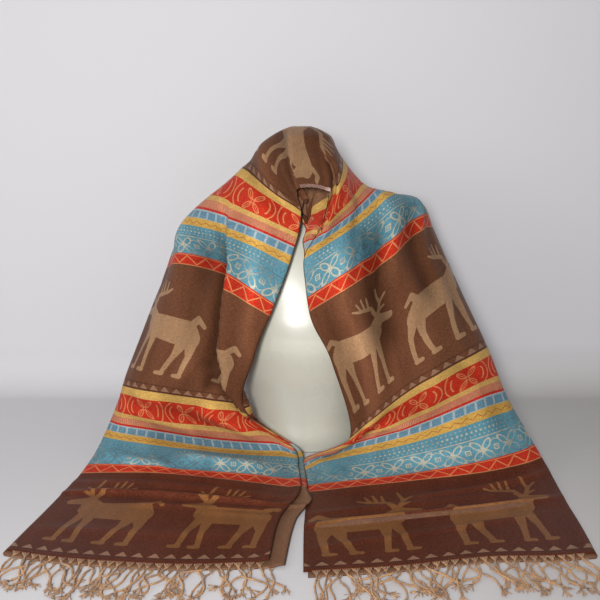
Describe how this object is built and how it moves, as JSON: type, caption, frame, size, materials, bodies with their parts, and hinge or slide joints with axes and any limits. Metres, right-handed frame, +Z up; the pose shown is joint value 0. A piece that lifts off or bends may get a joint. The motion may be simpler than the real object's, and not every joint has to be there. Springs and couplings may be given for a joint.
{
  "type": "pashmina shawl on a dress form",
  "caption": "Patterned pashmina shawl folded lengthwise and draped over a smooth limbless bust form, with its fringed ends lying forward on the table.",
  "frame": {"origin": "centre of the dress form's flat base, on the table", "axes": "+Z up, -Y the wearer's front where the shawl's ends lie, +X to the right of a viewer who faces that front"},
  "size_m": [0.7712, 0.6074, 0.5244],
  "materials": {
    "form": "gloss white",
    "cloth": "soft satin twill",
    "fringe": "twisted yarn"
  },
  "bodies": {
    "root": {"dress_form": "form", "shawl_left_end": "cloth", "shawl_left_drape": "cloth", "shawl_crown": "cloth", "shawl_right_drape": "cloth", "shawl_right_end": "cloth", "fringe_left_upper": "fringe", "fringe_left_under": "fringe", "fringe_right_upper": "fringe", "fringe_right_under": "fringe"}
  },
  "joints": []
}
